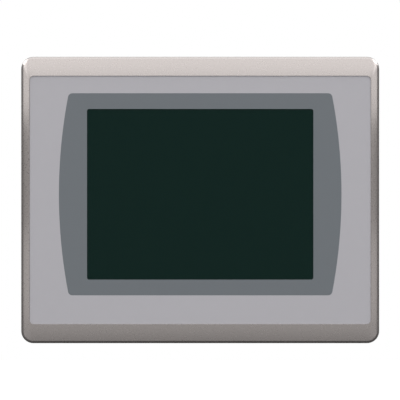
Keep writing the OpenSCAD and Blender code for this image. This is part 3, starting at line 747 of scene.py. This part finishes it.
# %% [markdown]
# ## Cases, lugs, clips and door
#
# These are the big dark shapes behind the panel. Their vents, hooks and recesses are already in
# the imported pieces, so rounding the edges and giving them their surface is enough.

# %% Cases and their fittings
softened("rear_case", case_plastic, 0.7, 3, back_rim("rear_case"))
softened("logic_case", coated_steel, 0.9, 4, back_rim("logic_case"))
softened("case_lugs", coated_steel, 0.3)
softened("battery_door", case_plastic, 0.2)
for corner in ("top_left", "top_right", "bottom_left", "bottom_right"):
    softened(f"clip_{corner}", clip_plastic, 0.3)
    softened(f"pad_{corner}", pad_plastic, 0.25)
softened("case_screws", zinc, 0.12)

# %% [markdown]
# ## Clamp screws with a real thread
#
# A clamp screw has a turned head with a slot, a threaded shank and a thin neck for the pad. The
# packed screw has a smooth shank at the thread's outer size, so the copy's shank is first drawn
# in to the thread's root. Its slot and its chamfers are right, and only get rounded.

# %% A shank at the thread's root
PITCH = 0.7
THREAD_R, ROOT_R = 1.95, 1.62


def screw_axis(node):
    low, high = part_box(node)
    return (low + high) / 2, low.y, high.y


def drawn_in(node):
    """A copy of a clamp screw with its shank at the thread's root."""
    centre = screw_axis(node)[0]
    piece = merged_copy(node)

    def on_shank(v):
        return abs(math.hypot(v.co.x - centre.x, v.co.z - centre.z) - THREAD_R * MM) < 0.03 * MM

    pick(piece, on_shank)
    share = ROOT_R / THREAD_R
    bpy.ops.transform.resize(value=(share, 1, share), center_override=centre)
    done()
    rounded(piece, 0.15)
    return weighted(piece)


print("thread depth in mm:", round(THREAD_R - ROOT_R, 2))

# %% [markdown]
# A thread is one small triangle wound along the shank, and the Screw modifier does just that:
# it turns an outline round an axis and moves it along by the pitch at each turn. The triangle
# starts as a circle of three points, turned so that one point looks outwards and set at the
# thread's outer size.

# %% A wound thread
THREAD_SIZE = 0.36
THREAD_STEPS = 28


def wound_thread(name, centre, start, end):
    """A triangle wound round the shank, from start to end along Y."""
    bpy.ops.object.select_all(action="DESELECT")
    bpy.ops.mesh.primitive_circle_add(vertices=3, radius=THREAD_SIZE * MM, fill_type="NOTHING")
    thread = bpy.context.object
    thread.name = name
    edit(thread)
    bpy.ops.transform.resize(value=(1, 0.9, 1))
    bpy.ops.transform.rotate(value=math.pi / 2, orient_axis="Z", center_override=(0, 0, 0))
    done()
    reach = max(v.co.x for v in thread.data.vertices)
    edit(thread)
    bpy.ops.transform.translate(value=(THREAD_R * MM - reach, 0, 0))
    done()
    applied(thread, "SCREW", axis="Y", angle=2 * math.pi, screw_offset=PITCH * MM,
            iterations=int((end - start) / (PITCH * MM)), steps=THREAD_STEPS,
            use_merge_vertices=False)
    edit(thread)
    bpy.ops.transform.translate(value=(centre.x, start, centre.z))
    bpy.ops.mesh.normals_make_consistent(inside=False)
    done()
    smooth(thread, 30)
    return thread


print("faces on one turn:", 3 * THREAD_STEPS)

# %% [markdown]
# The four screws are made alike, each from its own packed screw, and the thread is joined to
# its shank so that both turn together. It starts under the head and ends short of the neck.

# %% Four clamp screws
UNDER_HEAD, NECK = 2.9 * MM, 3.7 * MM

for corner in ("top_left", "top_right", "bottom_left", "bottom_right"):
    node = f"screw_{corner}"
    centre, start, end = screw_axis(node)
    shank = drawn_in(node)
    thread = wound_thread(f"thread_{corner}", centre, start + UNDER_HEAD, end - NECK)
    alone(thread)
    shank.select_set(True)
    bpy.context.view_layer.objects.active = shank
    bpy.ops.object.join()
    hand_over(shank, node, zinc, "clamp_steel", node)

# %% [markdown]
# ## Ports
#
# The sockets in the bottom wall are what an electrician looks at most: a green plug with three
# screws, a nine-way serial port with locking nuts, a shielded network jack and two USB ports.
# They get tighter roundings than the cases, because they are smaller and crisper.

# %% Sockets, plug and card
softened("power_header", green_plastic, 0.15)
softened("power_plug", green_plastic, 0.2)
softened("terminal_screws", zinc, 0.08)
softened("serial_shell", nickel, 0.1)
softened("serial_insert", port_black, 0.08)
softened("ethernet_jack", tin, 0.08)
softened("usb_shells", nickel, 0.08)

# %% [markdown]
# Inside each USB shell sits a white plastic tongue with four gold contacts on it. The contacts
# are too thin to be worth a mesh, so they are painted by place: bars that repeat across the
# tongue, kept to its upper half and its front. The memory card is moulded dark, and its printed
# panel is a paler rectangle set in from its edges.

# %% Gold contacts on a white tongue, and a card with a printed panel
tongue = Finish("usb_tongue", (0.66, 0.66, 0.63), 0.4)
usb_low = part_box("usb_tongues")[0]
CONTACT_STEP = 2.5 * MM
local = tongue.maths("PINGPONG", tongue.place("X") - 29 * MM, 8 * MM)
bars = tongue.maths("FRACT", local / CONTACT_STEP + 0.5).between(0.3, 0.7, 0.02)
face = 1 - tongue.place("Y").over(usb_low.y + 0.05 * MM, 0.02 * MM)
gold = bars * face * tongue.place("Z").over(usb_low.z + 1 * MM, 0.05 * MM)
tongue.feed(**{"Base Color": tongue.blend(gold, (0.66, 0.66, 0.63), (0.80, 0.58, 0.24)),
               "Metallic": gold, "Roughness": 0.42 - gold * 0.18})
softened("usb_tongues", tongue, 0.06)

card = Finish("card_plastic", (0.020, 0.030, 0.045), 0.38)
card_low, card_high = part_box("memory_card")
panel = (card.place("X").between(card_low.x + 6 * MM, card_high.x - 2 * MM, 0.05 * MM)
         * card.place("Z").between(card_low.z + 2 * MM, card_high.z - 2 * MM, 0.05 * MM)
         * card.place("Y").over(card_high.y - 0.1 * MM, 0.02 * MM))
fibres = card.noise(1800, 3)
card.feed(**{"Base Color": card.blend(panel, (0.020, 0.030, 0.045), (0.45, 0.47, 0.49)),
             "Roughness": 0.34 + panel * 0.16 + fibres * 0.06})
card.relief(fibres, 0.006 * MM, 0.4)
softened("memory_card", card, 0.15)
softened("card_socket", tin, 0.12)
softened("reset_button", button_plastic, 0.3, 3)

# %% [markdown]
# ## Boards and what is on them
#
# The boards show only through the vents, as green with copper tracks under the mask and tin
# pads. Tracks run along the board in one layer and across it in the other, so two stepped
# noises, each stretched along one axis, make believable routes. Pads and vias are the middles
# of small cells, where bare tin shows through the mask.

# %% Circuit board
board = Finish("solder_mask", (0.012, 0.095, 0.040), 0.3, Coat_Weight=0.4, Coat_Roughness=0.15)
along = board.noise(1.0, 0, board.stretched(900, 900, 30)).between(0.50, 0.60, 0.02)
athwart = board.noise(1.0, 0, board.stretched(30, 900, 900)).between(0.50, 0.60, 0.02)
tracks = board.maths("MAXIMUM", along, athwart)
pads = 1 - board.cells(420).over(0.16, 0.02)
mask = board.blend(tracks, (0.010, 0.080, 0.034), (0.026, 0.150, 0.062))
board.feed(**{"Base Color": board.blend(pads, mask, (0.66, 0.65, 0.62)), "Metallic": pads * 0.9,
              "Roughness": 0.34 - pads * 0.08})
board.relief(tracks + pads, 0.03 * MM, 0.5)
dress(board, "display_board", "logic_board")
print("solder mask nodes:", len(board.nodes))

# %% [markdown]
# A chip is pressed from black epoxy with a sandy skin and a dimple that marks its first pin. An
# upright capacitor is an aluminium can in a shrunk sleeve: the sleeve leaves the crown bare and
# has one pale stripe for the negative side. The crown and the stripe are placed from the node's
# own box, while the dimples are simply the middles of widely spaced cells.

# %% Chips, capacitors and heatsink
epoxy = Finish("chip_epoxy", (0.018, 0.018, 0.019), 0.5)
dimples = 1 - epoxy.cells(110).over(0.10, 0.02)
sand = epoxy.noise(2500, 2)
epoxy.feed(**{"Base Color": epoxy.blend(dimples, (0.020, 0.020, 0.021), (0.035, 0.035, 0.036)),
              "Roughness": 0.5 + sand * 0.1 - dimples * 0.2})
epoxy.relief(sand - dimples, 0.02 * MM, 0.4)
dress(epoxy, "display_board_parts", "logic_chips", "reset_switch")

sleeve = Finish("shrink_sleeve", (0.016, 0.020, 0.045), 0.3)
cap_low, cap_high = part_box("capacitors")
crown = sleeve.place("Y").over(cap_high.y - 0.15 * MM, 0.05 * MM)
stripe = sleeve.place("Z").over(cap_high.z - 2.4 * MM, 0.1 * MM)
wrinkle = sleeve.noise(500, 3)
coloured = sleeve.blend(stripe, (0.016, 0.020, 0.045), (0.42, 0.43, 0.46))
sleeve.feed(**{"Base Color": sleeve.blend(crown, coloured, (0.62, 0.62, 0.63)),
               "Metallic": crown, "Roughness": 0.26 + wrinkle * 0.1})
sleeve.relief(wrinkle, 0.01 * MM, 0.3)
dress(sleeve, "capacitors")
dress(anodised, "heatsink")
print("capacitor height in mm:", round((cap_high.y - cap_low.y) / MM, 1))

# %% [markdown]
# ## Inside the display and the last small pieces
#
# Flexes, foam, films and the light guide are hidden in use, but the part can be taken apart in
# a scene, so each has its own look. A flex or ribbon is drawn by its cores: amber film with
# copper lines, a white one with fine conductors, and a grey cable with ridges a pitch apart.

# %% Flexes and ribbons
def cored(name, colour, core, pitch, roughness=0.4):
    """A flat cable whose cores run along it, so they repeat across its width."""
    cable = Finish(name, colour, roughness)
    cores = cable.maths("FRACT", cable.place("X") / (pitch * MM)).between(0.28, 0.72, 0.1)
    scuff = cable.noise(700, 2)
    cable.feed(**{"Base Color": cable.blend(cores, colour, core),
                  "Roughness": roughness - 0.05 + scuff * 0.1})
    return cable.relief(cores, 0.05 * MM, 0.6)


dress(cored("amber_flex", (0.42, 0.20, 0.035), (0.55, 0.33, 0.10), 1.0, 0.3), "touch_tail")
dress(cored("white_flex", (0.74, 0.73, 0.69), (0.56, 0.55, 0.52), 0.5), "display_ribbon")
dress(cored("grey_ribbon", (0.24, 0.25, 0.27), (0.30, 0.31, 0.33), 1.27, 0.5), "link_ribbon")

# %% [markdown]
# Behind the cell, light has to spread from one strip of diodes over the whole face. The guide
# is clear acrylic with white dots printed on its back, the films over it are frosted, and the
# tray behind it is white. Diodes are yellow squares at an even pitch, and the foam that keeps
# dust out is all small bubbles.

# %% Films, guide, tray and foam
frosted = moulded("frosted_film", (0.82, 0.83, 0.82), 0.5, pits=5000, depth=0.004)
tray_white = moulded("tray_white", (0.80, 0.80, 0.78), 0.5)
guide = Finish("light_guide", (0.80, 0.86, 0.88), 0.12, Alpha=0.6)
dots = 1 - guide.cells(900).over(0.22, 0.05)
guide.feed(**{"Base Color": guide.blend(dots, (0.80, 0.86, 0.88), (0.93, 0.93, 0.92)),
              "Roughness": 0.10 + dots * 0.5})
strip = Finish("led_strip", (0.78, 0.76, 0.66), 0.4)
diodes = strip.maths("FRACT", strip.place("X") / (6 * MM)).between(0.25, 0.75, 0.03)
strip.feed(**{"Base Color": strip.blend(diodes, (0.74, 0.73, 0.68), (0.86, 0.74, 0.22)),
              "Roughness": 0.45 - diodes * 0.2})
foam = Finish("cell_foam", (0.012, 0.012, 0.012), 0.95)
foam.relief(foam.cells(3500), 0.15 * MM, 0.8)
foam.feed(Roughness=0.85 + foam.cells(3500) * 0.1)
for finish, nodes in ((frosted, ["backlight_films"]), (tray_white, ["backlight_tray"]),
                      (guide, ["light_guide"]), (strip, ["led_bar"]), (foam, ["lcd_foam"]),
                      (sheet_steel, ["lcd_frame", "chassis_plate"]),
                      (brass, ["chassis_spacers", "logic_spacers"]),
                      (zinc, ["chassis_screws", "board_screws", "door_hinge_pin"]),
                      (holder_plastic, ["battery_holder"]), (can_steel, ["coin_cell"])):
    dress(finish, *nodes)
    print(finish.material.name, "on", nodes)

# %% [markdown]
# ## Rating label
#
# Every such device carries a label with its ratings. Ours says nothing, so it has only what a
# blank label has: a silver film, a thin frame and the ruled fields that would be filled in. The
# lines come from comparing the piece's own coordinates with the label's box.

# %% A ruled silver film
label = Finish("rating_film", (0.62, 0.63, 0.64), 0.42, 0.35)
label_low, label_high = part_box("rating_label")
x, z = label.place("X"), label.place("Z")
LINE = 0.25 * MM


def ruled(value, at):
    return value.between(at - LINE / 2, at + LINE / 2, 0.05 * MM)


def most(*wires):
    found = wires[0]
    for wire in wires[1:]:
        found = label.maths("MAXIMUM", found, wire)
    return found


frame_in = 1.6 * MM
left, right = label_low.x + frame_in, label_high.x - frame_in
bottom, top = label_low.z + frame_in, label_high.z - frame_in
inside = x.between(left, right, 0.05 * MM) * z.between(bottom, top, 0.05 * MM)
rows = [ruled(z, bottom + (top - bottom) * i / 5) for i in range(6)]
posts = [ruled(x, left), ruled(x, right), ruled(x, left + (right - left) * 0.36)]
ink = most(*rows, *posts) * inside
brushed = label.noise(1.0, 2, label.stretched(60, 900, 2500))
label.feed(**{"Base Color": label.blend(ink, (0.62, 0.63, 0.64), (0.03, 0.03, 0.035)),
              "Roughness": 0.34 + brushed * 0.14 + ink * 0.1})
label.relief(brushed, 0.003 * MM, 0.3)
dress(label, "rating_label")
print("ruled fields:", (len(rows) - 1) * (len(posts) - 1))
